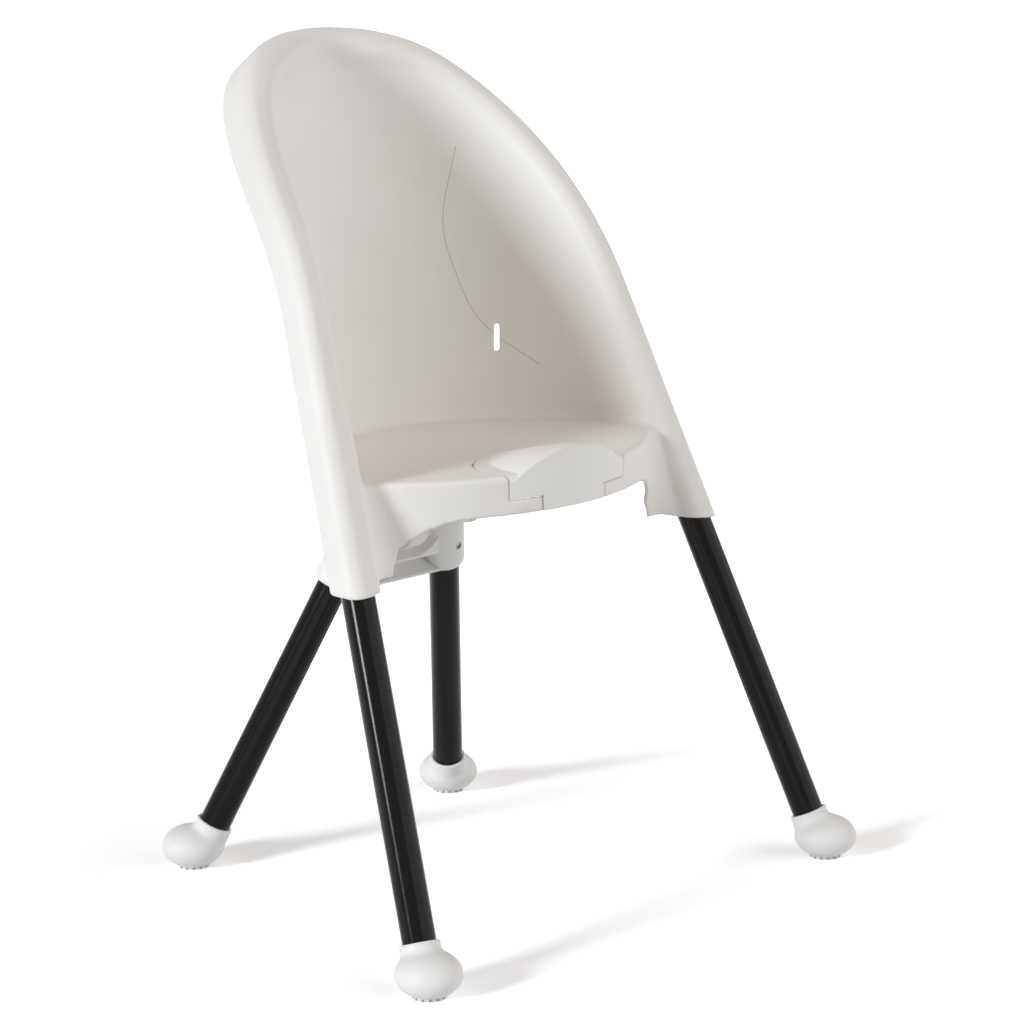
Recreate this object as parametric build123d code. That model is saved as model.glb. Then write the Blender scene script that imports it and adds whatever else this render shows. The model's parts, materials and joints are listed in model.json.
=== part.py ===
from build123d import *
from math import asin, atan2, cos, hypot, pi, radians, sin, sqrt, tan
import os

os.makedirs("parts", exist_ok=True)

# Sizes in mm. The origin is on the floor, midway between the feet. The chair faces -Y and Z is up.

# Legs and where they stand
TUBE_D = 32.0
TUBE_WALL = 1.5
FRONT_FOOT_X = 284.5
REAR_FOOT_X = 183.0
FOOT_Y = 224.7
FRONT_RAKE = 21.95
FRONT_SPLAY = 8.08
REAR_RAKE = 19.55
REAR_SPLAY = 19.65

# Seat shell
SEAT_Z = 440.0
SKIN = 4.0
COLUMN_Z = 344.0
RIM_WIDTH = 40.0
RIM_TOP_WIDTH = 33.0
RIM_DEPTH = 38.0
RIM_TILT = 39.5
RIM_ROLL = 15.0
RIM_BACK_ROUND = 5.0
RIM_DEEPENING = 6.6
BEND_Z = 581.0
BEND_R = 372.0
BEND_ANGLE = 16.3
CROWN_R = 828.0
CROWN_ANGLE = 26.0
TOP_Z = 839.0
ARCH_RISE = 279.0
BACK_Y = 135.0
BACK_LEAN = 10.5
FRONT_APEX_Y = -143.0
FRONT_CHORD_Y = -52.0
FRONT_CHORD_X = 201.0
SKIRT_Z = 402.0
SKIRT_ARCH_X = 184.0
SKIRT_ARCH_RUN = 72.0
SEAT_LAP = 22.0
FLARE_R = 30.0
FLARE_LAP = 2.0
WEB_Z = 350.0
EDGE_ROUND = 8.0
CREASE_ROUND = 10.0
CHANNEL_Z = 480.0
SOCKET_DEPTH = 88.0
LEG_END_GAP = 1.0
RIB_DROP = 22.0
RIB_THICK = 3.0
RIB_FRONT_Y = -110.0
EAR_ROOT_AHEAD = 34.0
EAR_ROOT_LENGTH = 26.0
BOSS_WIDTH = 8.0
BOSS_LENGTH = 18.0
BOSS_GAP = 2.0
STRAP_SLOT = (5.0, 29.0)
STRAP_SLOT_AT = (134.0, 97.0, 523.0)
STRAP_SLOT_TURN = -44.5

# Release lever at the seat front
LEVER_HALF = 79.0
STEM_HALF = 42.0
SHOULDER_Z = 417.0
LEVER_REAR_Y = -43.0
LEVER_ROUND = 60.0
HUMP_RISE = 20.0
LEVER_GAP = 1.0
LEVER_SKIN = 4.0
LEVER_PIN_D = 6.0
LEVER_PIVOT = (-60.0, 431.0)
LEVER_TURN = 12.0
LEVER_HUB_SHARE = 0.4
LEVER_HUB_LENGTH = 16.0
LEVER_HUB_WALL = 4.0
TAIL_LENGTH = 18.0
TAIL_WIDTH = 8.0
TAIL_DEPTH = 14.0
TAIL_PLAY = 0.2
HUMP_BASE = 10.0
# Shares of the way back, of the rise and of the half width
HUMP_SECTIONS = ((0.0, 1.0, 1.03), (0.4, 0.8, 1.0), (0.75, 0.36, 0.9), (1.0, 0.03, 0.6))

# Rear bracket, its hinge and the latch bolt
HINGE_Z = 352.0
HINGE_PIN_D = 10.0
HUB_D = 34.0
SOCKET_Z = 294.0
SOCKET_D = 43.0
BRACKET_HALF = 86.0
EAR_GAP = 1.3
EAR_THICK = 10.0
EAR_R = 18.0
WEB_TOP_Z = 314.0
WEB_LOW_Z = 290.0
WEB_CORNER = 30.0
WEB_DEPTH = 26.0
WEB_LIP = 3.0
WEB_WINDOW_WALL = 9.0
SOCKET_ROUND = 4.0
SOCKET_OVER = 12.0
CAP_D = 20.0
CAP_LENGTH = 5.0
CAP_ROUND = 2.0
WASHER_D = 26.0
WASHER_THICK = 1.0
KEEPER_R = 30.0
KEEPER_WIDTH = 22.0
POCKET_DEPTH = 7.0
POCKET_PLAY = 0.5
BOLT_D = 8.0
BOLT_SHORT = 0.4
CROSS_PIN_D = 5.0
FORK_WIDTH = 24.0
FORK_HEIGHT = 14.0
FORK_LENGTH = 24.0
GUIDE_WIDTH = 18.0
GUIDE_LENGTH = 10.0
GUIDE_SHARES = (0.26, 0.66)
COLLAR_D = 14.0
COLLAR_LENGTH = 4.0

# Feet
FOOT_D = 62.0
FOOT_WIDEST_Z = 23.0
FOOT_HALF_HEIGHT = 24.0
NECK_D = 39.0
NECK_Z = 49.0
NECK_BLEND = 12.0
SOLE_D = 32.0
SOLE_OUT = 3.0
SOLE_IN = 2.0
TREADS = 14
TREAD_WIDTH = 2.2
TREAD_DEPTH = 2.5
TREAD_SKIN = 0.6
DISC_Z = 16.0
DISC_THICK = 3.0

# Latch spring
SPRING_R = 5.7
SPRING_WIRE = 1.2
SPRING_TURNS = 5.0
SPRING_LENGTH = 28.0
SPRING_FROM = 7.0

# Screws that hold the legs
SCREW_D = 4.0
SCREW_LENGTH = 9.0
SCREW_HEAD_D = 7.6
SCREW_HEAD_H = 2.2
SCREW_SINK = 1.5
SCREW_HEAD_PLAY = 0.5
FRONT_SCREW_UP = 45.0
REAR_SCREW_UP = 26.0

# Gaps on the radius: fixed fits and running fits
FIT = 0.02
RUN = 0.05

RAKE = tan(radians(FRONT_RAKE))
SPLAY = tan(radians(FRONT_SPLAY))
TILT = radians(RIM_TILT)
UP = (sin(TILT), cos(TILT))
INTO = (cos(TILT), -sin(TILT))

# Cutters and outlines run this far past a part, the half bowl past the middle plane
FAR = 500.0
PAST = 60.0
BOWL_LAP = 10.0
# Two places nearer than this are the same place
CLOSE = 0.05
RIGHT_HALF = Pos(FAR, 0, FAR) * Box(2 * FAR, 4 * FAR, 4 * FAR)


def side_axis(z):
    """Front leg axis in side view at height z."""
    return (-FOOT_Y + RAKE * z, z)


def heading(angle):
    """Side view direction that leans back from upright by an angle in degrees."""
    return (sin(radians(angle)), cos(radians(angle)))


def outward(angle):
    """Side view direction square to a heading, pointing forward and up."""
    return (-cos(radians(angle)), sin(radians(angle)))


def shift(point, direction, distance):
    return (point[0] + direction[0] * distance, point[1] + direction[1] * distance)


def up_of(point):
    """How far a side view point lies along the tilted up direction of the arch."""
    return point[0] * UP[0] + point[1] * UP[1]


# Centres of the two arcs of the rim in side view
BEND_END = FRONT_RAKE + BEND_ANGLE
BEND_CENTRE = shift(side_axis(BEND_Z), outward(FRONT_RAKE), -BEND_R)
CROWN_CENTRE = shift(BEND_CENTRE, outward(BEND_END), BEND_R - CROWN_R)


def side_path(forward, start_z, lean=0.0):
    """Rim line in side view, moved forward: a straight column and two tangent arcs that can lean further."""
    bend = shift(side_axis(BEND_Z), outward(FRONT_RAKE), forward)
    along = (start_z - bend[1]) / heading(FRONT_RAKE)[1]
    column = Line(shift(bend, heading(FRONT_RAKE), along), bend)
    low = JernArc(bend, heading(FRONT_RAKE), BEND_R + forward, -BEND_ANGLE - lean)
    high = JernArc(low @ 1, heading(BEND_END + lean), CROWN_R + forward, -CROWN_ANGLE)
    return [column, low, high]


def rim_point(up, forward):
    """Point of the moved rim line in side view at a distance along the tilted up direction."""
    for centre, radius, first, last in (
        (CROWN_CENTRE, CROWN_R + forward, BEND_END, 90.0),
        (BEND_CENTRE, BEND_R + forward, FRONT_RAKE, BEND_END),
    ):
        start_up = up_of(shift(centre, outward(first), radius))
        if up >= start_up:
            angle = RIM_TILT + asin((up - up_of(centre)) / radius) / radians(1.0)
            return shift(centre, outward(angle), radius)
    bend = shift(side_axis(BEND_Z), outward(FRONT_RAKE), forward)
    along = (up - up_of(bend)) / up_of(heading(FRONT_RAKE))
    return shift(bend, heading(FRONT_RAKE), along)


def find_top():
    """Tilted height at which the front edge of the rim reaches the chair's full height."""
    low, high = up_of(side_axis(BEND_Z)), 2.0 * TOP_Z
    high = min(high, up_of(CROWN_CENTRE) + CROWN_R * 0.9)
    for _ in range(60):
        middle = (low + high) / 2.0
        if rim_point(middle, 0.0)[1] < TOP_Z - RIM_DEPTH * 0.12:
            low = middle
        else:
            high = middle
    return low


TOP_UP = find_top()
ARCH_CENTRE = TOP_UP - ARCH_RISE
NARROWING = SPLAY / up_of((RAKE, 1.0))


class Arch:
    """Outline of the rim in the tilted plane: two straight legs tangent to half an ellipse."""

    def __init__(self, widen):
        self.rise = ARCH_RISE + (widen - RIM_WIDTH / 2.0) * RIM_TOP_WIDTH / RIM_WIDTH
        base = (ARCH_CENTRE - up_of(side_axis(0.0))) / up_of((RAKE, 1.0))
        self.reach = FRONT_FOOT_X + widen - SPLAY * base
        self.half = sqrt(self.reach ** 2 - (NARROWING * self.rise) ** 2)
        self.join_x = self.half ** 2 / self.reach
        self.join_up = ARCH_CENTRE + NARROWING * self.rise ** 2 / self.reach

    def width(self, up):
        """Half width at a tilted height."""
        if up <= self.join_up:
            return self.reach - NARROWING * (up - ARCH_CENTRE)
        part = (up - ARCH_CENTRE) / self.rise
        return self.half * sqrt(max(0.0, 1.0 - part ** 2))

    def face(self, bottom_up):
        """Closed outline down to a tilted height."""
        foot = self.width(bottom_up)
        angle = asin((self.join_up - ARCH_CENTRE) / self.rise) / radians(1.0)
        size = 180.0 - 2.0 * angle
        crown = EllipticalCenterArc((0, ARCH_CENTRE), self.half, self.rise, angle, arc_size=size)
        right = Line((foot, bottom_up), crown @ 0)
        left = Line(crown @ 1, (-foot, bottom_up))
        return make_face([right, crown, left, Line((-foot, bottom_up), (foot, bottom_up))])


OUTER_ARCH = Arch(RIM_WIDTH / 2.0)
INNER_ARCH = Arch(-RIM_WIDTH / 2.0)
ARCH_PLANE = Plane(origin=(0, 0, 0), x_dir=(1, 0, 0), z_dir=(0, -INTO[0], -INTO[1]))


def across(edges):
    """Solid of a closed side view outline, running across the whole chair."""
    return extrude(Plane.YZ * make_face(edges), amount=FAR, both=True)


def rim_band():
    """Solid rim and columns: arch outline crossed with the side view band."""
    front = side_path(RIM_DEPTH / 2.0, COLUMN_Z)
    back = side_path(-RIM_DEPTH / 2.0, COLUMN_Z, RIM_DEEPENING)
    ends = [Line(front[0] @ 0, back[0] @ 0), Line(front[2] @ 1, back[2] @ 1)]
    band = across(front + back + ends)
    low = up_of(side_axis(COLUMN_Z)) - PAST
    arch = extrude(ARCH_PLANE * OUTER_ARCH.face(low), amount=2 * FAR, both=True)
    return band & arch


def bowl(grow):
    """Right half of the bucket's inside, grown by a skin: half ellipses stacked up the arch."""
    arch = Arch(grow - RIM_WIDTH / 2.0)
    past = BOWL_LAP - grow
    bottom = up_of(side_axis(COLUMN_Z - PAST))
    legs = [bottom + (ARCH_CENTRE - bottom) * i / 6.0 for i in range(6)]
    crown = [ARCH_CENTRE + arch.rise * sin(radians(a)) for a in (0, 14, 27, 39, 50, 60, 69, 77, 84)]
    lean = heading(BACK_LEAN)
    square = INTO[0] * lean[1] - INTO[1] * lean[0]
    sections = []
    for up in legs + crown:
        y, z = rim_point(up, RIM_DEPTH / 2.0 + RIM_ROLL / 2.0)
        depth = ((BACK_Y - y) * lean[1] - (SEAT_Z - z) * lean[0]) / square + grow
        half = arch.width(up)
        back = EllipticalCenterArc((0, 0), half, depth, 0, arc_size=90)
        front = EllipticalCenterArc((0, 0), half, depth, -90, arc_size=90)
        plane = Plane(origin=(0, y, z), x_dir=(1, 0, 0), z_dir=(0, UP[0], UP[1]))
        corners = [(0, depth), (-past, depth), (-past, -depth), (0, -depth)]
        strip = [Line(a, b) for a, b in zip(corners, corners[1:])]
        sections.append(plane * make_face([back, front] + strip))
    return loft(sections)


def over_path(edge, path):
    """True if an edge lies over a side view path."""
    for part in (0.05, 0.3, 0.5, 0.7, 0.95):
        spot = Vector((edge @ part).Y, (edge @ part).Z, 0)
        if min(line.distance_to(spot) for line in path) > CLOSE:
            return False
    return True


def on_outer_arch(edge):
    """True if an edge lies on the outer outline of the rim."""
    points = [edge @ part for part in (0.05, 0.5, 0.95)]
    return all(abs(p.X - OUTER_ARCH.width(up_of((p.Y, p.Z)))) < CLOSE for p in points)


def is_rung(edge):
    """True for an edge that only crosses the rim, or lies on the middle plane."""
    ends = [edge @ 0, edge @ 1]
    level = abs(up_of((ends[0].Y, ends[0].Z)) - up_of((ends[1].Y, ends[1].Z))) < 0.5
    return (level and abs(ends[0].X - ends[1].X) > RIM_WIDTH * 0.8) or (edge @ 0.5).X < 0.01


def soften(part, edges, radius):
    """Round edges, with a smaller radius where the full one does not fit."""
    for share in (1.0, 0.8, 0.6, 0.4):
        try:
            rounded = part.fillet(radius * share, edges)
            if rounded.is_valid:
                return rounded
        except ValueError:
            continue
    return part


def rolled_rim(inside, outside):
    """Right half of the rim and column, rolled over at the front and open behind."""
    band = (rim_band() & RIGHT_HALF) - inside
    front = side_path(RIM_DEPTH / 2.0, COLUMN_Z - RIM_DEPTH)
    rolled = [e for e in band.edges() if over_path(e, front) and not is_rung(e)]
    band = soften(solid_of(band), rolled, RIM_ROLL)
    back = side_path(-RIM_DEPTH / 2.0, COLUMN_Z - RIM_DEPTH, RIM_DEEPENING)
    corner = [e for e in band.edges() if on_outer_arch(e) and over_path(e, back)]
    band = soften(band, corner, RIM_BACK_ROUND)
    return band - rim_channel(outside)


def rim_channel(outside):
    """Hollow behind the rim, between its outer flange and the bucket wall."""
    front = side_path(RIM_DEPTH / 2.0 - RIM_ROLL - SKIN, CHANNEL_Z)
    back = side_path(-3.0 * RIM_DEPTH, CHANNEL_Z)
    ends = [Line(front[0] @ 0, back[0] @ 0), Line(front[2] @ 1, back[2] @ 1)]
    arch = Arch(RIM_WIDTH / 2.0 - SKIN)
    low = up_of(side_axis(COLUMN_Z)) - PAST
    tube = extrude(ARCH_PLANE * arch.face(low), amount=2 * FAR, both=True)
    return (across(front + back + ends) & tube & RIGHT_HALF) - outside


def solid_of(shape):
    """The largest solid of a shape."""
    return sorted(shape.solids(), key=lambda s: s.volume)[-1]


def ahead_of(forward):
    """Everything in front of the moved rim line."""
    line = side_path(forward, COLUMN_Z - 150.0)
    far = [(-2 * FAR, -FAR), (-2 * FAR, 3 * FAR)]
    closing = [Line(line[0] @ 0, far[0]), Line(far[0], far[1]), Line(far[1], line[2] @ 1)]
    return across(line + closing)


def layer(low, high):
    """Level slab of space between two heights."""
    return Pos(0, 0, (low + high) / 2.0) * Box(4 * FAR, 4 * FAR, high - low)


def room_above_seat(inside):
    """Space over the seat, with a soft corner where the seat meets the bucket wall."""
    room = solid_of(inside & layer(SEAT_Z, 3 * FAR))
    low = [e for e in room.edges() if abs((e @ 0.5).Z - SEAT_Z) < CLOSE and e.geom_type != GeomType.LINE]
    return soften(room, low, CREASE_ROUND)


def bucket(inside, outside):
    """Right half of the bucket behind the rim line: wall, flat seat and the edge below it."""
    upper = (outside & layer(SEAT_Z - SKIN, 3 * FAR)) - room_above_seat(inside)
    lower = (outside & layer(SKIRT_Z, SEAT_Z - SKIN)) - inside
    return (upper + lower - ahead_of(0.0)) & RIGHT_HALF


def front_circle():
    """Plan radius and centre Y of the bowed seat front."""
    bow = FRONT_CHORD_Y - FRONT_APEX_Y
    radius = (FRONT_CHORD_X ** 2 + bow ** 2) / (2.0 * bow)
    return radius, FRONT_APEX_Y + radius


def front_plan(inset):
    """Plan of the bowed seat front, inset from the front."""
    radius, centre = front_circle()
    length = FRONT_CHORD_Y - FRONT_APEX_Y + 2 * SEAT_LAP
    strip = Rectangle(2 * (FRONT_CHORD_X + SEAT_LAP), length)
    middle = FRONT_CHORD_Y + SEAT_LAP * 1.3 - length / 2.0
    return (Pos(0, middle) * strip) & (Pos(0, centre) * Circle(radius - inset))


def on_bow(point):
    """True if a point lies on the bowed front of the seat."""
    radius, centre = front_circle()
    return abs(hypot(point.X, point.Y - centre) - radius) < CLOSE


def flare_section(z, inset):
    """Plan of the hollow curve that carries the skirt forward into a column's roll, at one height."""
    radius, centre = front_circle()
    hub = Vector(0, centre)
    forward = (RIM_DEPTH / 2.0 - RIM_ROLL) / cos(radians(FRONT_RAKE))
    nose = Vector(FRONT_FOOT_X - SPLAY * z - RIM_WIDTH / 2.0 + RIM_ROLL, side_axis(z)[0] - forward)
    way = (nose - hub).normalized()
    gap = (nose - hub).length
    far, near = radius + FLARE_R, RIM_ROLL - FLARE_LAP + FLARE_R
    along = (far ** 2 - near ** 2 + gap ** 2) / (2.0 * gap)
    spot = hub + way * along + Vector(way.Y, -way.X) * sqrt(far ** 2 - along ** 2)
    first, last = [atan2(end.Y - spot.Y, end.X - spot.X) / radians(1.0) for end in (nose, hub)]
    arc = CenterArc(spot, FLARE_R + inset, first, last - first)
    back = nose.Y + RIM_DEPTH
    corners = [arc @ 1, Vector((arc @ 1).X, back), Vector(nose.X, back), nose, arc @ 0]
    edges = [arc] + [Line(p, q) for p, q in zip(corners, corners[1:])]
    return Pos(0, 0, z) * make_face(edges)


def flare(low, high, inset):
    """Flare between two heights."""
    return loft([flare_section(z, inset) for z in (low, (low + high) / 2.0, high)])


def seat_front():
    """Right half of the bowed seat front: pan, rounded edge and skirt with its arched lower edge."""
    block = extrude(Pos(0, 0, WEB_Z) * front_plan(0.0), SEAT_Z - WEB_Z) & RIGHT_HALF
    block = solid_of(block + flare(WEB_Z, SEAT_Z, 0.0))
    tops = [e for e in block.edges() if min((e @ 0).Z, (e @ 1).Z) > SEAT_Z - 0.1]
    block = soften(block, [e for e in tops if e.geom_type != GeomType.LINE], EDGE_ROUND)
    hollow = extrude(Pos(0, 0, WEB_Z - SKIN) * front_plan(SKIN), SEAT_Z - WEB_Z)
    hollow = hollow + flare(WEB_Z - SKIN, SEAT_Z - SKIN, SKIN)
    return (block - hollow - skirt_arch()) & ahead_of(1.0 - RIM_DEPTH / 2.0)


def skirt_arch():
    """Opening under the skirt: a flat top that curves down to the columns."""
    centre = (SKIRT_ARCH_X - SKIRT_ARCH_RUN, WEB_Z)
    curve = EllipticalCenterArc(centre, SKIRT_ARCH_RUN, SKIRT_Z - WEB_Z, 0, arc_size=90)
    low = WEB_Z - SKIRT_ARCH_RUN
    corners = [(-SKIRT_ARCH_RUN, SKIRT_Z), (-SKIRT_ARCH_RUN, low), (SKIRT_ARCH_X, low), (SKIRT_ARCH_X, WEB_Z)]
    edges = [Line(p, q) for p, q in zip(corners, corners[1:])] + [Line(curve @ 1, corners[0])]
    return extrude(Plane.XZ * make_face([curve] + edges), FAR, both=True)


def below_column():
    """Space under the column, whose lower end drops from the skirt's foot to its outer side."""
    outer = FRONT_FOOT_X - SPLAY * COLUMN_Z + RIM_WIDTH / 2.0
    low = COLUMN_Z - RIM_DEPTH
    corners = [(SKIRT_ARCH_X, WEB_Z), (outer, COLUMN_Z), (outer, low), (SKIRT_ARCH_X, low)]
    return extrude(Plane.XZ * make_face(Polyline(*corners, close=True)), FAR, both=True)


def front_axis(z):
    """Right front leg axis at height z."""
    return Vector(FRONT_FOOT_X - SPLAY * z, -FOOT_Y + RAKE * z, z)


def rear_axis(z):
    """Right rear leg axis at height z."""
    splay = tan(radians(REAR_SPLAY))
    rake = tan(radians(REAR_RAKE))
    return Vector(REAR_FOOT_X - splay * z, FOOT_Y - rake * z, z)


def rod(start, end, diameter):
    """Round bar between two points."""
    length = (Vector(end) - Vector(start)).length
    plane = Plane(origin=start, z_dir=Vector(end) - Vector(start))
    return plane * Cylinder(diameter / 2.0, length, align=(Align.CENTER, Align.CENTER, Align.MIN))


def cross_rod(y, z, diameter, x_from, x_to):
    """Round bar along X."""
    return rod((x_from, y, z), (x_to, y, z), diameter)


def both_sides(part):
    """A right-hand part and its mirror image, as one list of solids."""
    return [part, mirror(part, about=Plane.YZ)]


def ear():
    """Right hinge ear under the seat."""
    x = BRACKET_HALF + EAR_GAP
    top = SEAT_Z - SKIN / 2.0
    root_y = HINGE_Y - EAR_ROOT_AHEAD
    root = [(root_y, top), (root_y + EAR_ROOT_LENGTH, top)]
    web = Polyline(*root, (HINGE_Y + EAR_R, HINGE_Z), (HINGE_Y - EAR_R, HINGE_Z), close=True)
    face = make_face(web) + Pos(HINGE_Y, HINGE_Z) * Circle(EAR_R)
    return extrude(Plane.YZ * face, EAR_THICK).moved(Location((x, 0, 0)))


def rib(x, y_from, y_to, drop):
    """Upright stiffening rib under the seat, along Y."""
    height = drop + SKIN / 2.0
    middle = (y_from + y_to) / 2.0
    return Pos(x, middle, SEAT_Z - SKIN / 2.0 - height / 2.0) * Box(RIB_THICK, y_to - y_from, height)


def lever_boss():
    """Right boss that holds the lever's pivot pin."""
    y, z = LEVER_PIVOT
    x = LEVER_HALF + LEVER_GAP + BOSS_WIDTH / 2.0 + BOSS_GAP
    low, high = z - LEVER_HUB_WALL - LEVER_PIN_D / 2.0, SEAT_Z - SKIN / 2.0
    return Pos(x, y, (low + high) / 2.0) * Box(BOSS_WIDTH, BOSS_LENGTH, high - low)


def bolt_at(distance):
    """Point of the latch bolt's axis at a distance from the lever's cross pin."""
    y, z = LEVER_PIVOT
    start = Vector(0, y, z - TAIL_LENGTH)
    towards = (Vector(0, HINGE_Y, HINGE_Z) - start).normalized()
    return start + towards * distance


def bolt_guide(distance):
    """Boss under the seat that the latch bolt slides in."""
    point = bolt_at(distance)
    low = point.Z - BOLT_D
    height = SEAT_Z - SKIN / 2.0 - low
    return Pos(0, point.Y, low + height / 2.0) * Box(GUIDE_WIDTH, GUIDE_LENGTH, height)


def lever_plan(grow, front_y):
    """Plan of the lever opening: straight sides and a rounded rear end."""
    half = LEVER_HALF + grow
    join = LEVER_REAR_Y - LEVER_ROUND
    rear = EllipticalCenterArc((0, join), half, LEVER_ROUND + grow, 0, arc_size=180)
    corners = [(-half, join), (-half, front_y), (half, front_y), (half, join)]
    return make_face([rear] + [Line(a, b) for a, b in zip(corners, corners[1:])])


def lever_notch():
    """Opening in the seat front for the lever, with shoulders for its stop."""
    plan = Pos(0, LEVER_GAP) * lever_plan(LEVER_GAP, -FAR)
    upper = extrude(Pos(0, 0, SHOULDER_Z - LEVER_GAP) * plan, FAR)
    stem = Pos(0, FRONT_APEX_Y, SHOULDER_Z - FAR / 2.0) * Box(2 * (STEM_HALF + LEVER_GAP), 2 * STEM_HALF, FAR)
    return upper + stem


def screw_way(axis, facing):
    """Direction square to a leg, as near as it can be to a facing direction."""
    along = leg_direction(axis)
    return (facing - along * facing.dot(along)).normalized()


def front_screw_place():
    """Seat of the front screw's head behind the column, and the way it faces."""
    way = screw_way(front_axis, Vector(0, 1, 0))
    return front_axis(COLUMN_Z + FRONT_SCREW_UP) + way * (RIM_DEPTH / 2.0 - SCREW_SINK), way


def rear_screw_place():
    """Seat of the rear screw's head in the front of the socket, and the way it faces."""
    way = screw_way(rear_axis, Vector(0, -1, 0))
    return rear_axis(SOCKET_Z + REAR_SCREW_UP) + way * (SOCKET_D / 2.0 - SCREW_SINK), way


def leg_screw(place):
    """Pan head screw whose shank points at a leg axis."""
    seat, way = place
    head = rod(seat, seat + way * SCREW_HEAD_H, SCREW_HEAD_D)
    return head + rod(seat - way * SCREW_LENGTH, seat + way * 0.5, SCREW_D)


def leg_screw_hole(place):
    """Room for a screw's shank, with a wider recess for its head."""
    seat, way = place
    shank = rod(seat - way * TUBE_D * 0.75, seat, SCREW_D + 2 * FIT)
    return shank + rod(seat - way * FIT, seat + way * SOCKET_D, SCREW_HEAD_D + 2 * SCREW_HEAD_PLAY)


def strap_slot():
    """Right strap slot through the bucket wall."""
    width, height = STRAP_SLOT
    cutter = extrude(SlotOverall(height, width, rotation=90), PAST, both=True)
    return Pos(*STRAP_SLOT_AT) * Rot(0, 0, STRAP_SLOT_TURN) * Rot(90, 0, 0) * cutter


def seat_shell():
    """White one-piece moulding: bucket, rolled rim, leg columns, seat and skirt."""
    inside = bowl(0.0)
    outside = bowl(SKIN)
    half = rolled_rim(inside, outside) + bucket(inside, outside)
    half = half + seat_front()
    half = half + ear() + lever_boss()
    half = half + rib(BRACKET_HALF + EAR_GAP + EAR_THICK / 2.0, RIB_FRONT_Y, HINGE_Y - EAR_R, RIB_DROP)
    top = front_axis(COLUMN_Z) + (front_axis(1.0) - front_axis(0.0)).normalized() * SOCKET_DEPTH
    half = half - rod(front_axis(COLUMN_Z - PAST), top, TUBE_D + 2 * FIT)
    half = half - leg_screw_hole(front_screw_place()) - strap_slot() - below_column()
    half = half - cross_rod(HINGE_Y, HINGE_Z, HINGE_PIN_D + 2 * FIT, 0.0, 2 * BRACKET_HALF)
    reach = LEVER_HALF + LEVER_GAP + BOSS_WIDTH / 2.0 + FIT
    half = half - cross_rod(*LEVER_PIVOT, LEVER_PIN_D + 2 * FIT, 0.0, reach)
    half = half & RIGHT_HALF
    whole = half + mirror(half, about=Plane.YZ)
    for distance in GUIDES:
        whole = whole + bolt_guide(distance)
    whole = whole - lever_notch() - rod(bolt_at(0.0), bolt_at(BOLT_REACH), BOLT_D + 2 * RUN)
    return solid_of(whole)


HINGE_Y = rear_axis(HINGE_Z).Y
REAR_TUBE_TOP_Z = HINGE_Z - HINGE_PIN_D * 1.5
TUBE_FOOT_Z = DISC_Z + DISC_THICK * 0.95
BOLT_REACH = (Vector(0, HINGE_Y, HINGE_Z) - bolt_at(0.0)).length
GUIDES = [BOLT_REACH * share for share in GUIDE_SHARES]


def hump(drop):
    """Domed top of the lever, highest at the front, lowered and narrowed by a skin."""
    base = SEAT_Z - HUMP_BASE
    front_y = FRONT_APEX_Y - HUMP_BASE
    sections = []
    for share, rise, half in HUMP_SECTIONS:
        y = front_y + (LEVER_REAR_Y - front_y) * share
        width = LEVER_HALF * half - drop
        top = SEAT_Z + HUMP_RISE * rise - drop
        arc = ThreePointArc((-width, base), (0, top), (width, base))
        face = make_face([arc, Line((width, base), (-width, base))])
        sections.append(Plane(origin=(0, y, 0), x_dir=(1, 0, 0), z_dir=(0, -1, 0)) * face)
    return loft(sections)


def lever_cover():
    """Plate with a rounded front edge, wings and stem in front, and the hollow hump on top."""
    radius, centre = front_circle()
    disc = Pos(0, centre) * Circle(radius)
    inner_disc = Pos(0, centre) * Circle(radius - LEVER_SKIN)
    plan = lever_plan(0.0, -FAR) & disc
    rim = plan - lever_plan(-LEVER_SKIN, FRONT_APEX_Y + LEVER_SKIN)
    cover = extrude(Pos(0, 0, SEAT_Z - LEVER_SKIN) * plan, LEVER_SKIN)
    cover = cover + extrude(Pos(0, 0, SEAT_Z - 2 * LEVER_SKIN) * rim, 2 * LEVER_SKIN)
    for half, low in ((LEVER_HALF, SHOULDER_Z), (STEM_HALF, SKIRT_Z)):
        front = (disc - inner_disc) & (Pos(0, FRONT_APEX_Y) * Rectangle(2 * half, LEVER_HALF))
        cover = cover + extrude(Pos(0, 0, low) * front, SEAT_Z - low)
    edges = [e for e in cover.edges() if (e @ 0.5).Z > SEAT_Z - 0.1 and on_bow(e @ 0.5)]
    cover = soften(solid_of(cover), edges, EDGE_ROUND)
    tall = 4 * HUMP_RISE
    dome = hump(0.0) & extrude(Pos(0, 0, SEAT_Z - HUMP_BASE) * plan, tall)
    inner = lever_plan(-LEVER_SKIN, -FAR) & inner_disc
    return cover + dome - (hump(LEVER_SKIN) & extrude(Pos(0, 0, SEAT_Z - tall) * inner, 2 * tall))


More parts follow.
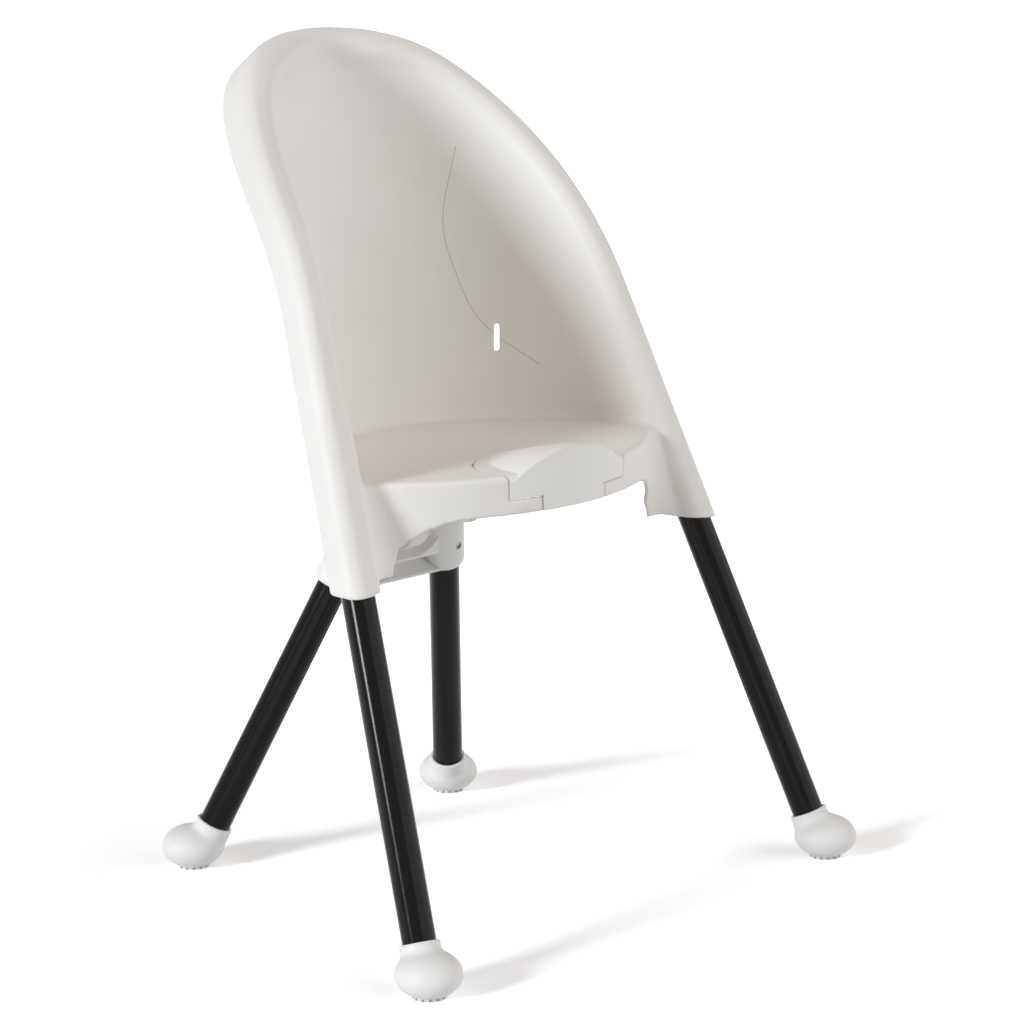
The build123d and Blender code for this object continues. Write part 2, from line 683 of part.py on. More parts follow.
def release_lever():
    """T-shaped lever with its hump, pivot hubs and the tail that pulls the latch bolt."""
    y, z = LEVER_PIVOT
    body = lever_cover()
    hub_d = LEVER_PIN_D + 2 * LEVER_HUB_WALL
    top = SEAT_Z - LEVER_SKIN / 4.0
    for x in (-LEVER_HUB_SHARE * LEVER_HALF, LEVER_HUB_SHARE * LEVER_HALF):
        body = body + cross_rod(y, z, hub_d, x - LEVER_HUB_LENGTH / 2.0, x + LEVER_HUB_LENGTH / 2.0)
        body = body + Pos(x, y, (z + top) / 2.0) * Box(LEVER_HUB_LENGTH, hub_d, top - z)
    tail_low = z - TAIL_LENGTH - 1.5 * CROSS_PIN_D
    body = body + Pos(0, y, (tail_low + top) / 2.0) * Box(TAIL_WIDTH, TAIL_DEPTH, top - tail_low)
    slot_top = z - TAIL_LENGTH + CROSS_PIN_D
    slot = Box(2 * TAIL_WIDTH, CROSS_PIN_D + 2 * TAIL_PLAY, TAIL_LENGTH * 2)
    body = body - Pos(0, y, slot_top - TAIL_LENGTH) * slot
    return solid_of(body - cross_rod(y, z, LEVER_PIN_D + 2 * RUN, -LEVER_HALF, LEVER_HALF))


def lever_pin():
    y, z = LEVER_PIVOT
    reach = LEVER_HALF + LEVER_GAP + BOSS_WIDTH / 2.0
    return cross_rod(y, z, LEVER_PIN_D, -reach, reach)


def bolt_plane(distance):
    """Plane square to the latch bolt, facing the hinge."""
    return Plane(origin=bolt_at(distance), x_dir=(1, 0, 0), z_dir=bolt_at(1.0) - bolt_at(0.0))


def latch_bolt():
    """Sliding bolt with a fork around the lever's tail."""
    nose = BOLT_REACH - KEEPER_R - BOLT_SHORT
    fork = bolt_plane(FORK_LENGTH / 6.0) * Box(FORK_WIDTH, FORK_HEIGHT, FORK_LENGTH)
    slot = bolt_plane(-FORK_LENGTH / 4.0) * Box(TAIL_WIDTH + 6 * TAIL_PLAY, 2 * FORK_WIDTH, 1.3 * FORK_LENGTH)
    shank = rod(bolt_at(FORK_LENGTH / 2.0), bolt_at(nose), BOLT_D)
    hole = cross_rod(bolt_at(0.0).Y, bolt_at(0.0).Z, CROSS_PIN_D + 2 * FIT, -FORK_WIDTH, FORK_WIDTH)
    return solid_of(fork - slot + shank - hole)


def latch_cross_pin():
    return cross_rod(bolt_at(0.0).Y, bolt_at(0.0).Z, CROSS_PIN_D, -FORK_WIDTH / 2.0, FORK_WIDTH / 2.0)


def latch_collar():
    """Ring on the latch bolt that the spring pushes on."""
    start = GUIDES[0] + SPRING_FROM + SPRING_LENGTH + 10 * FIT
    ring = rod(bolt_at(start), bolt_at(start + COLLAR_LENGTH), COLLAR_D)
    return ring - rod(bolt_at(start - COLLAR_LENGTH), bolt_at(start + 2 * COLLAR_LENGTH), BOLT_D + 2 * FIT)


def wire_spot(turns):
    """Point on the spring's wire after some turns."""
    angle = 2.0 * pi * turns
    rise = (SPRING_LENGTH - SPRING_WIRE) * turns / SPRING_TURNS
    return (SPRING_R * cos(angle), SPRING_R * sin(angle), rise + SPRING_WIRE / 2.0)


def latch_spring():
    """Return spring between the first guide and the collar, wound in quarter turns."""
    quarters = int(4 * SPRING_TURNS)
    path = [ThreePointArc(*[wire_spot((i + part) / 4.0) for part in (0, 0.5, 1)]) for i in range(quarters)]
    wire = Wire(path)
    coil = sweep(Plane(origin=wire @ 0, z_dir=wire % 0) * Circle(SPRING_WIRE / 2.0), path=wire)
    return bolt_plane(GUIDES[0] + SPRING_FROM) * coil


def leg_direction(axis):
    return (axis(1.0) - axis(0.0)).normalized()


def leg(axis, low_z, top):
    """Steel tube along a leg axis."""
    bar = rod(axis(low_z), top, TUBE_D)
    way = leg_direction(axis)
    return bar - rod(axis(low_z) - way * TUBE_WALL, top + way * TUBE_WALL, TUBE_D - 2 * TUBE_WALL)


def front_leg():
    top = front_axis(COLUMN_Z) + leg_direction(front_axis) * (SOCKET_DEPTH - LEG_END_GAP)
    return leg(front_axis, TUBE_FOOT_Z, top) - leg_screw_hole(front_screw_place())


def rear_leg():
    return leg(rear_axis, TUBE_FOOT_Z, rear_axis(REAR_TUBE_TOP_Z)) - leg_screw_hole(rear_screw_place())


def foot(axis):
    """Ball foot with a neck along its leg."""
    angle = asin((SOLE_OUT - FOOT_WIDEST_Z) / FOOT_HALF_HEIGHT) / radians(1.0)
    centre = (FOOT_D / 2.0 - FOOT_HALF_HEIGHT, FOOT_WIDEST_Z)
    arc = CenterArc(centre, FOOT_HALF_HEIGHT, angle, 90.0 - angle)
    top = (0, FOOT_WIDEST_Z + FOOT_HALF_HEIGHT)
    outline = [arc, Line(arc @ 1, top), Line(top, (0, SOLE_OUT)), Line((0, SOLE_OUT), arc @ 0)]
    ball = revolve(Plane.XZ * make_face(outline), Axis.Z)
    ground = axis(0.0)
    body = ball.moved(Location((ground.X, ground.Y, 0))) + rod(axis(FOOT_WIDEST_Z), axis(NECK_Z), NECK_D)
    joint = [e for e in body.edges() if e.geom_type not in (GeomType.LINE, GeomType.CIRCLE)]
    body = soften(solid_of(body), joint, NECK_BLEND)
    bore = rod(axis(DISC_Z), axis(2 * NECK_Z), TUBE_D + 2 * FIT)
    recess = rod((ground.X, ground.Y, 0), (ground.X, ground.Y, SOLE_OUT + SOLE_IN), SOLE_D + 2 * FIT)
    return solid_of(body - bore - recess)


def sole(axis):
    """Ribbed anti-slip sole under a foot."""
    ground = axis(0.0)
    pad = rod((0, 0, 0), (0, 0, SOLE_OUT + SOLE_IN - FIT), SOLE_D)
    tread = Pos(SOLE_D / 2.0, 0, 0) * Box(2 * TREAD_DEPTH, TREAD_WIDTH, 2 * (SOLE_OUT - TREAD_SKIN))
    for i in range(TREADS):
        pad = pad - Rot(0, 0, i * 360.0 / TREADS) * tread
    return solid_of(pad).moved(Location((ground.X, ground.Y, 0)))


def foot_disc(axis):
    """Hard disc between the tube's end and the foot."""
    way = leg_direction(axis)
    return rod(axis(DISC_Z) + way * FIT, axis(DISC_Z) + way * (DISC_THICK - FIT), TUBE_D)


def bracket_web():
    """Web between the sockets, in the plane of the rear legs, open above and scooped in front."""
    c, s = cos(radians(REAR_RAKE)), sin(radians(REAR_RAKE))
    plane = Plane(origin=(0, FOOT_Y, 0), x_dir=(1, 0, 0), z_dir=(0, -c, -s))
    low, mid, high = WEB_LOW_Z / c, WEB_TOP_Z / c, HINGE_Z / c
    half_low, half_high = rear_axis(WEB_LOW_Z).X, rear_axis(HINGE_Z).X
    corners = [(-half_low, low), (half_low, low), (half_high, high), (-half_high, high)]
    sheet = make_face(Polyline(*corners, close=True))
    window = RectangleRounded(2 * (half_high - WEB_WINDOW_WALL), 4 * WEB_CORNER, WEB_CORNER)
    window = Pos(0, mid + 2 * WEB_CORNER) * window
    body = extrude(plane * (sheet - window), WEB_DEPTH / 2.0, both=True)
    face = (plane * Pos(0, (mid + low) / 2.0, WEB_DEPTH / 2.0)).position
    trough = Ellipse(WEB_DEPTH - WEB_LIP, (mid - low) / 2.0 - WEB_LIP)
    trough = Plane(origin=face, x_dir=plane.z_dir, z_dir=(1, 0, 0)) * trough
    return body - extrude(trough, half_low, both=True)


def rear_bracket():
    """White yoke: two splayed sockets, hinge hub, cross web and the keeper for the latch bolt."""
    way = leg_direction(rear_axis)
    socket = rod(rear_axis(SOCKET_Z), rear_axis(HINGE_Z) + way * SOCKET_OVER, SOCKET_D)
    low_edge = socket.edges().sort_by(Axis.Z)[0]
    socket = soften(solid_of(socket), [low_edge], SOCKET_ROUND)
    half = socket + cross_rod(HINGE_Y, HINGE_Z, HUB_D, 0.0, BRACKET_HALF)
    half = half + (bracket_web() & RIGHT_HALF)
    half = half + cross_rod(HINGE_Y, HINGE_Z, 2 * KEEPER_R, 0.0, KEEPER_WIDTH / 2.0)
    half = half - rod(rear_axis(SOCKET_Z - PAST), rear_axis(REAR_TUBE_TOP_Z) + way * 0.5, TUBE_D + 2 * FIT)
    half = half - leg_screw_hole(rear_screw_place())
    half = half - cross_rod(HINGE_Y, HINGE_Z, HINGE_PIN_D + 2 * RUN, -HUB_D, 2 * BRACKET_HALF)
    whole = half + mirror(half, about=Plane.YZ)
    side = BOLT_D + 2 * POCKET_PLAY
    pocket = bolt_plane(BOLT_REACH - KEEPER_R) * Box(side, side, 2 * POCKET_DEPTH)
    return solid_of(whole - pocket)


def hinge_pin():
    reach = BRACKET_HALF + EAR_GAP + EAR_THICK + CAP_LENGTH * 0.6
    return cross_rod(HINGE_Y, HINGE_Z, HINGE_PIN_D, -reach, reach)


def hinge_cap():
    """Right push-on cap of the hinge pin."""
    x = BRACKET_HALF + EAR_GAP + EAR_THICK + FIT
    cap = cross_rod(HINGE_Y, HINGE_Z, CAP_D, x, x + CAP_LENGTH)
    cap = soften(solid_of(cap), [cap.edges().sort_by(Axis.X)[-1]], CAP_ROUND)
    end = x + CAP_LENGTH * 0.6 + RUN
    return cap - cross_rod(HINGE_Y, HINGE_Z, HINGE_PIN_D + 2 * FIT, x - CAP_LENGTH, end)


def hinge_washer():
    """Right washer between the bracket and its ear."""
    x = BRACKET_HALF + EAR_GAP
    ring = cross_rod(HINGE_Y, HINGE_Z, WASHER_D, x - WASHER_THICK - FIT, x - FIT)
    return ring - cross_rod(HINGE_Y, HINGE_Z, HINGE_PIN_D + 2 * FIT, x - EAR_THICK, x + EAR_THICK)


def save(name, solids):
    """Write one node as a STEP file."""
    shape = solids[0] if len(solids) == 1 else Compound(children=[solid_of(s) for s in solids])
    export_step(shape, "parts/" + name + ".step")


def save_pair(name, part):
    """Write a right-hand part and its left-hand mirror image as two nodes."""
    right, left = both_sides(solid_of(part))
    save(name + "_right", [right])
    save(name + "_left", [left])


def main():
    save("seat_shell", [seat_shell()])
    save("release_lever", [release_lever()])
    save("lever_pin", [lever_pin()])
    save("latch_bolt", [latch_bolt()])
    save("latch_cross_pin", [latch_cross_pin()])
    save("latch_collar", [latch_collar()])
    save("latch_spring", [latch_spring()])
    save("rear_bracket", [rear_bracket()])
    save("hinge_pin", [hinge_pin()])
    save("hinge_caps", both_sides(hinge_cap()))
    save("hinge_washers", both_sides(hinge_washer()))
    save("front_leg_screws", both_sides(leg_screw(front_screw_place())))
    save("rear_leg_screws", both_sides(leg_screw(rear_screw_place())))
    save_pair("front_leg", front_leg())
    save_pair("rear_leg", rear_leg())
    for end, axis in (("front", front_axis), ("rear", rear_axis)):
        save_pair(end + "_foot", foot(axis))
        save(end + "_foot_soles", both_sides(sole(axis)))
        save(end + "_foot_discs", both_sides(foot_disc(axis)))


if __name__ == "__main__":
    main()
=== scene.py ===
import json
import math

import bmesh
import bpy
import numpy as np
from mathutils import Matrix, Vector
from mathutils.bvhtree import BVHTree
from mathutils.geometry import interpolate_bezier


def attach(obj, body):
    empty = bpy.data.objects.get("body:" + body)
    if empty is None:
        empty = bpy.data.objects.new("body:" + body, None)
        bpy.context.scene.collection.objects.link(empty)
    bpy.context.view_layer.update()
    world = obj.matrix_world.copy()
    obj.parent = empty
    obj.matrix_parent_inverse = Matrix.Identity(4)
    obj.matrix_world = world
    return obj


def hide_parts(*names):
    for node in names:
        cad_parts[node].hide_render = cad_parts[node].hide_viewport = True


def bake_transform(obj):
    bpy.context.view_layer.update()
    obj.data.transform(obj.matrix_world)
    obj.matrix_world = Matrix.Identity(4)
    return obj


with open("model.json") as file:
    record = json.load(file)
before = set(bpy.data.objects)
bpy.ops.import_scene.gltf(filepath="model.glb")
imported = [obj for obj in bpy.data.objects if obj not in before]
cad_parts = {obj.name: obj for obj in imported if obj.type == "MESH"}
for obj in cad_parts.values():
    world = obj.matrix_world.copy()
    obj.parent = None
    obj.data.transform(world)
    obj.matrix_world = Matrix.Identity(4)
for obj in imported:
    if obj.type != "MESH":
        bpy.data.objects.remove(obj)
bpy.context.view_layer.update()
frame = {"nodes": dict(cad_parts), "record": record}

nodes = frame["nodes"]

# Camera, in metres and degrees
CAMERA_AT = (-2.2968, -2.3089, 1.0745)
CAMERA_AZIMUTH = -45.549
CAMERA_ELEVATION = 12.149
CAMERA_ROLL = -0.385
CAMERA_LENS = 117.97
CAMERA_REACH = 200.0
SENSOR = 36.0

# Light
SKY_LEVEL = 0.27
SKY_TINT = (1.0, 0.90, 0.80)
KEY_FROM = (-0.98, 0.10, 0.32)
KEY_SPREAD = 14.0
KEY_STRENGTH = 2.15
KEY_TINT = (0.93, 1.0, 1.06)
FILL_FROM = (0.50, -0.85, 0.40)
FILL_SPREAD = 80.0
FILL_STRENGTH = 1.38
FILL_TINT = (0.96, 1.0, 1.04)

# Floor, with its colour as the camera sees it near the chair and, brighter, far from it: painted light that
# washes out the chair's far shadow
FLOOR_SIZE = 80.0
FLOOR_COLOUR = (0.82, 0.82, 0.82)
FLOOR_SEEN = (1.76, 1.79, 1.84)
FLOOR_FAR_SEEN = (2.50, 2.55, 2.65)
FLOOR_NEAR = 0.40
FLOOR_FAR = 0.75

# Legs and feet, as they stand in the frame
FRONT_FOOT_X = 0.2845
REAR_FOOT_X = 0.1830
FOOT_Y = 0.2247
FRONT_RAKE = 21.95
FRONT_SPLAY = 8.08
REAR_RAKE = 19.55
REAR_SPLAY = 19.65
TUBE_R = 0.016
FOOT_R = 0.0320
FOOT_HALF_HEIGHT = 0.0220
FOOT_BOTTOM = 0.0030
NECK_R = 0.0192
NECK_Z = 0.0455
BORE_Z = 0.0160
FOOT_VOXEL = 0.0011
FOOT_RINGS = 24
FOOT_SIDES = 48
FOOT_TOP_TURN = 89.0
BORE_SIDES = 64

# Blend of a foot's ball into its collar: heights over which it fades, least share and rounds
COLLAR_LIP = 0.002
COLLAR_FADE = 0.004
BALL_SHOULDER_Z = 0.020
BALL_SHOULDER_FADE = 0.008
BLEND_LEAST = 0.1
BLEND_ROUNDS = 45

# Screws in the rear sockets and behind the columns
REAR_SCREW_Z = 0.320
REAR_SCREW_OUT = 0.0200
FRONT_SCREW_Z = 0.389
FRONT_SCREW_OUT = 0.0175
SCREW_HEAD_R = 0.0043
SCREW_HEAD_H = 0.0022
SCREW_R = 0.0020
SCREW_LENGTH = 0.0090
SCREW_SIDES = 40
PAN_SIDE_SHARE = 0.45
PAN_TURNS = (30.0, 60.0, 85.0)
PAN_FULLNESS = 0.6
DRIVE_R = 0.0027
DRIVE_DEPTH = 0.0018
DRIVE_SIDES = 6

# Smoothing: a step towards the middle of the neighbours, and the step back that keeps the size
SMOOTH_IN = 0.5
SMOOTH_BACK = -0.52
SHELL_ROUNDS = 6

# Places on the shell: where the halves of its crown meet, corners by the seat and the column foot, and the
# strap slot, which is kept sharp
SHELL_VOXEL = 0.0020
CROWN_AT = (0.0, 0.1835, 0.8306)
CROWN_REACH = 0.060
CROWN_ROUNDS = 90
SHELL_CORNERS = ((0.203, -0.043, 0.443), (0.192, -0.068, 0.350))
CORNER_REACH = 0.022
CORNER_ROUNDS = 12
COLUMN_EDGE_AT = (0.190, -0.066, 0.350)
COLUMN_EDGE_REACH = 0.036
COLUMN_EDGE_IN = 0.006
SLOT_AT = (0.134, 0.097, 0.523)
SLOT_REACH = 0.022

# Rim of the shell: its arch stands out at the shoulders and in at the sides, at turns in degrees from
# upright round a middle point, and its roll is narrowed
RIM_MIDDLE_Z = 0.700
RIM_FULL_R = 0.100
SHOULDER_TURN = 44.0
SHOULDER_SPAN = 18.0
SHOULDER_OUT = 0.005
SIDE_TURN = 88.0
SIDE_SPAN = 22.0
SIDE_IN = 0.003
ROLL_DEPTH = 0.035
ROLL_IN = 0.005
ROLL_FROM_Z = 0.470
ROLL_TO_Z = 0.835
ROLL_FADE = 0.060
RIM_LEVEL_STEP = 0.004
LEAST_REACH = 1e-6

# Witness line of the mould on the inner wall, in photo pixels
WITNESS_PIXELS = ((456, 146), (443, 215), (452, 262), (482, 322), (545, 368))
WITNESS_STEPS = 12
WITNESS_WIDTH = 0.0005
WITNESS_FACING = 0.3
WITNESS_HEIGHT = 0.00022
PHOTO_SIZE = 1024

# Materials
NODE_SAMPLES = 6
EDGE_LEAN = 0.75
PLASTIC_IOR = 1.45
PAINT_IOR = 1.25
# Reach of the painted shade in creases
CREASE_SHADE_REACH = 0.012
PAINT_EDGE = 0.0008
STEEL_EDGE = 0.0005
RUBBER_EDGE = 0.0006
WORN_GREY = (0.10, 0.10, 0.10)

# Colours, linear
SHELL_WHITE = (0.86, 0.833, 0.80)
LEVER_WHITE = (0.88, 0.865, 0.84)
# The bracket's white is lighter than the shell's to brighten it where it sits in the seat's shade: painted
# light
BRACKET_WHITE = (0.90, 0.89, 0.87)
FOOT_WHITE = (0.86, 0.85, 0.835)
PAINT_BLACK = (0.003, 0.003, 0.0034)
STEEL_GREY = (0.30, 0.295, 0.28)
NYLON_GREY = (0.42, 0.42, 0.41)
RUBBER_WHITE = (0.74, 0.735, 0.72)


class Shader:
    """A new material and the few node helpers that the finishes share."""

    def __init__(self, name):
        self.material = bpy.data.materials.new(name)
        self.material.use_nodes = True
        self.tree = self.material.node_tree
        self.surface = self.tree.nodes["Principled BSDF"]
        self.place = self.add("ShaderNodeTexCoord").outputs["Object"]

    def add(self, kind):
        return self.tree.nodes.new(kind)

    def join(self, source, target):
        self.tree.links.new(source, target)

    def noise(self, scale, detail=3.0, stretch=(1.0, 1.0, 1.0)):
        mapping = self.add("ShaderNodeMapping")
        mapping.inputs["Scale"].default_value = stretch
        self.join(self.place, mapping.inputs["Vector"])
        texture = self.add("ShaderNodeTexNoise")
        texture.inputs["Scale"].default_value = scale
        texture.inputs["Detail"].default_value = detail
        self.join(mapping.outputs["Vector"], texture.inputs["Vector"])
        return texture.outputs["Fac"]

    def spread(self, source, low, high, from_low=0.3, from_high=0.7):
        ranged = self.add("ShaderNodeMapRange")
        ranged.inputs["From Min"].default_value = from_low
        ranged.inputs["From Max"].default_value = from_high
        ranged.inputs["To Min"].default_value = low
        ranged.inputs["To Max"].default_value = high
        self.join(source, ranged.inputs["Value"])
        return ranged.outputs["Result"]

    def mix(self, amount, first, second):
        mixed = self.add("ShaderNodeMix")
        mixed.data_type = "RGBA"
        self.join(amount, mixed.inputs["Factor"])
        for value, socket in ((first, mixed.inputs[6]), (second, mixed.inputs[7])):
            if isinstance(value, bpy.types.NodeSocket):
                self.join(value, socket)
            else:
                socket.default_value = (*value, 1.0)
        return mixed.outputs[2]

    def soft_edge(self, radius):
        bevel = self.add("ShaderNodeBevel")
        bevel.samples = NODE_SAMPLES
        bevel.inputs["Radius"].default_value = radius
        return bevel.outputs["Normal"]

    def edge_mask(self, rounded, gain):
        """1 on sharp edges and 0 on flats: how far the rounded normal leans from the true one."""
        dot = self.add("ShaderNodeVectorMath")
        dot.operation = "DOT_PRODUCT"
        self.join(rounded, dot.inputs[0])
        self.join(self.add("ShaderNodeNewGeometry").outputs["Normal"], dot.inputs[1])
        return self.spread(dot.outputs["Value"], low=gain, high=0.0, from_low=EDGE_LEAN, from_high=1.0)

    def crease(self, reach):
        hidden = self.add("ShaderNodeAmbientOcclusion")
        hidden.samples = NODE_SAMPLES
        hidden.inputs["Distance"].default_value = reach
        return hidden.outputs["AO"]

    def bump(self, height, strength, distance, normal):
        raised = self.add("ShaderNodeBump")
        raised.inputs["Strength"].default_value = strength
        raised.inputs["Distance"].default_value = distance
        self.join(height, raised.inputs["Height"])
        self.join(normal, raised.inputs["Normal"])
        return raised.outputs["Normal"]


def scaled(colour, factor):
    return tuple(channel * factor for channel in colour)


def moulded(name, colour, gloss, edge):
    """Satin moulded plastic: cloudy tone, fine grain, painted highlights on sharp edges and painted shade
    in the creases.
    """
    shader = Shader(name)
    dark = scaled(colour, 0.975)
    light = scaled(colour, 1.015)
    crease_shade_tone = scaled(colour, 0.55)
    edge_highlight_tone = scaled(colour, 1.10)
    rounded = shader.soft_edge(edge)
    clouds = shader.spread(shader.noise(scale=7.0, detail=4.0), low=0.0, high=1.0)
    tone = shader.mix(clouds, dark, light)
    # Painted shade: darker in creases, by how much ambient occlusion hides them
    crease_shade = shader.spread(shader.crease(CREASE_SHADE_REACH), low=0.16, high=0.0, from_low=0.2, from_high=0.9)
    tone = shader.mix(crease_shade, tone, crease_shade_tone)
    # Painted highlight: sharp edges lighter than the flats
    edge_highlight = shader.edge_mask(rounded, gain=0.35)
    tone = shader.mix(edge_highlight, tone, edge_highlight_tone)
    shader.join(tone, shader.surface.inputs["Base Color"])
    rough = shader.spread(shader.noise(scale=26.0, detail=5.0), low=gloss - 0.05, high=gloss + 0.06)
    shader.join(rough, shader.surface.inputs["Roughness"])
    shader.surface.inputs["IOR"].default_value = PLASTIC_IOR
    ripples = shader.noise(scale=14.0, detail=1.0)
    waves = shader.bump(ripples, strength=0.12, distance=0.0012, normal=rounded)
    sparks = shader.noise(scale=1500.0, detail=2.0)
    grain = shader.bump(sparks, strength=0.10, distance=0.00012, normal=waves)
    shader.join(grain, shader.surface.inputs["Normal"])
    return shader.material


def glossy_paint(name, colour):
    """Stoved black paint on tube: faint orange peel, streaks along the tube and edges worn to grey."""
    shader = Shader(name)
    rounded = shader.soft_edge(PAINT_EDGE)
    lengthwise = (1.0, 1.0, 0.06)
    streaks = shader.spread(shader.noise(scale=60.0, detail=4.0, stretch=lengthwise), low=0.0, high=1.0)
    tone = shader.mix(streaks, colour, scaled(colour, 1.3))
    worn = shader.edge_mask(rounded, gain=0.5)
    tone = shader.mix(worn, tone, WORN_GREY)
    shader.join(tone, shader.surface.inputs["Base Color"])
    rough = shader.spread(shader.noise(scale=90.0, detail=4.0), low=0.11, high=0.16)
    shader.join(rough, shader.surface.inputs["Roughness"])
    dimples = shader.noise(scale=420.0, detail=2.0)
    peel = shader.bump(dimples, strength=0.05, distance=0.00010, normal=rounded)
    shader.join(peel, shader.surface.inputs["Normal"])
    shader.surface.inputs["IOR"].default_value = PAINT_IOR
    return shader.material


def turned_steel(name, colour):
    """Zinc plated steel: finely brushed, with rougher patches."""
    shader = Shader(name)
    rounded = shader.soft_edge(STEEL_EDGE)
    patches = shader.spread(shader.noise(scale=220.0, detail=4.0), low=0.0, high=1.0)
    tone = shader.mix(patches, scaled(colour, 0.85), scaled(colour, 1.1))
    shader.join(tone, shader.surface.inputs["Base Color"])
    shader.surface.inputs["Metallic"].default_value = 1.0
    rough = shader.spread(shader.noise(scale=500.0, detail=4.0), low=0.24, high=0.42)
    shader.join(rough, shader.surface.inputs["Roughness"])
    lines = shader.noise(scale=900.0, detail=2.0, stretch=(0.2, 1.0, 1.0))
    brushed = shader.bump(lines, strength=0.12, distance=0.0001, normal=rounded)
    shader.join(brushed, shader.surface.inputs["Normal"])
    return shader.material


def matt_rubber(name, colour):
    """White rubber with darker scuffs."""
    shader = Shader(name)
    rounded = shader.soft_edge(RUBBER_EDGE)
    marks = shader.noise(scale=160.0, detail=6.0)
    scuffs = shader.spread(marks, low=0.0, high=0.6, from_low=0.45, from_high=0.75)
    tone = shader.mix(scuffs, colour, scaled(colour, 0.72))
    shader.join(tone, shader.surface.inputs["Base Color"])
    rough = shader.spread(shader.noise(scale=240.0, detail=4.0), low=0.62, high=0.85)
    shader.join(rough, shader.surface.inputs["Roughness"])
    pores = shader.noise(scale=2200.0, detail=2.0)
    grain = shader.bump(pores, strength=0.3, distance=0.0002, normal=rounded)
    shader.join(grain, shader.surface.inputs["Normal"])
    return shader.material


def make_finishes():
    """One material for each slot of the record."""
    return {
        "shell_plastic": moulded("shell_plastic", SHELL_WHITE, gloss=0.56, edge=0.0022),
        "lever_plastic": moulded("lever_plastic", LEVER_WHITE, gloss=0.52, edge=0.0015),
        "bracket_plastic": moulded("bracket_plastic", BRACKET_WHITE, gloss=0.52, edge=0.0020),
        "foot_plastic": moulded("foot_plastic", FOOT_WHITE, gloss=0.54, edge=0.0012),
        "leg_paint": glossy_paint("leg_paint", PAINT_BLACK),
        "pin_steel": turned_steel("pin_steel", STEEL_GREY),
        "hidden_nylon": moulded("hidden_nylon", NYLON_GREY, gloss=0.45, edge=0.0006),
        "sole_rubber": matt_rubber("sole_rubber", RUBBER_WHITE),
    }


def finish_nodes(finishes):
    """Every drawn node takes the finish of its own material slot."""
    for part in frame["record"]["subparts"]:
        mesh = nodes[part["node"]].data
        mesh.materials.clear()
        mesh.materials.append(finishes[part["material_slot"]])


def camera_axes():
    azimuth = math.radians(CAMERA_AZIMUTH)
    elevation = math.radians(CAMERA_ELEVATION)
    level = math.cos(elevation)
    back = Vector((math.sin(azimuth) * level, -math.cos(azimuth) * level, math.sin(elevation)))
    right = Vector((0.0, 0.0, 1.0)).cross(back).normalized()
    up = back.cross(right)
    roll = math.radians(CAMERA_ROLL)
    return (
        math.cos(roll) * right + math.sin(roll) * up,
        math.cos(roll) * up - math.sin(roll) * right,
        back,
    )


def make_camera():
    camera = bpy.data.objects.new("camera", bpy.data.cameras.new("camera"))
    camera.data.lens = CAMERA_LENS
    camera.data.sensor_width = SENSOR
    camera.data.clip_end = CAMERA_REACH
    turn = Matrix(camera_axes()).transposed().to_4x4()
    camera.matrix_world = Matrix.Translation(CAMERA_AT) @ turn
    bpy.context.scene.collection.objects.link(camera)
    bpy.context.scene.camera = camera


def sun_light(name, direction, spread, strength, tint):
    """Even light from one side, soft by the angle that it spreads over."""
    light = bpy.data.lights.new(name, "SUN")
    light.angle = math.radians(spread)
    light.energy = strength
    light.color = tint
    lamp = bpy.data.objects.new(name, light)
    lamp.rotation_euler = Vector(direction).to_track_quat("Z", "Y").to_euler()
    bpy.context.scene.collection.objects.link(lamp)


def seen_directly(tree):
    """1 for what is seen by the camera, in a reflection or through glass, and 0 for light on the object."""
    path = tree.nodes.new("ShaderNodeLightPath")
    seen = path.outputs["Is Camera Ray"]
    for kind in ("Is Glossy Ray", "Is Transmission Ray"):
        either = tree.nodes.new("ShaderNodeMath")
        either.operation = "MAXIMUM"
        tree.links.new(seen, either.inputs[0])
        tree.links.new(path.outputs[kind], either.inputs[1])
        seen = either.outputs["Value"]
    return seen


def make_sky():
    world = bpy.data.worlds.new("studio")
    bpy.context.scene.world = world
    world.use_nodes = True
    tree = world.node_tree
    background = tree.nodes["Background"]
    background.inputs["Color"].default_value = (*SKY_TINT, 1.0)
    level = tree.nodes.new("ShaderNodeMapRange")
    level.inputs["To Min"].default_value = SKY_LEVEL
    level.inputs["To Max"].default_value = 1.0
    tree.links.new(seen_directly(tree), level.inputs["Value"])
    tree.links.new(level.outputs["Result"], background.inputs["Strength"])


def make_floor():
    """A pale floor that reads white to the camera and keeps the chair's shadow near it; painted light,
    brighter with distance from the chair, washes its far shadow out.
    """
    half = FLOOR_SIZE / 2.0
    mesh = bpy.data.meshes.new("floor")
    corners = [(-half, -half, 0.0), (half, -half, 0.0), (half, half, 0.0), (-half, half, 0.0)]
    mesh.from_pydata(corners, [], [(0, 1, 2, 3)])
    floor = bpy.data.objects.new("floor", mesh)
    bpy.context.scene.collection.objects.link(floor)
    shader = Shader("floor_paper")
    away = shader.add("ShaderNodeVectorMath")
    away.operation = "LENGTH"
    shader.join(shader.place, away.inputs[0])
    # Painted light: the seen colour brightens away from the chair so that its far shadow fades to white
    far = shader.spread(away.outputs["Value"], low=0.0, high=1.0, from_low=FLOOR_NEAR, from_high=FLOOR_FAR)
    seen = shader.mix(far, FLOOR_SEEN, FLOOR_FAR_SEEN)
    tone = shader.mix(seen_directly(shader.tree), FLOOR_COLOUR, seen)
    matt = shader.add("ShaderNodeBsdfDiffuse")
    shader.join(tone, matt.inputs["Color"])
    shader.join(matt.outputs["BSDF"], shader.tree.nodes["Material Output"].inputs["Surface"])
    mesh.materials.append(shader.material)


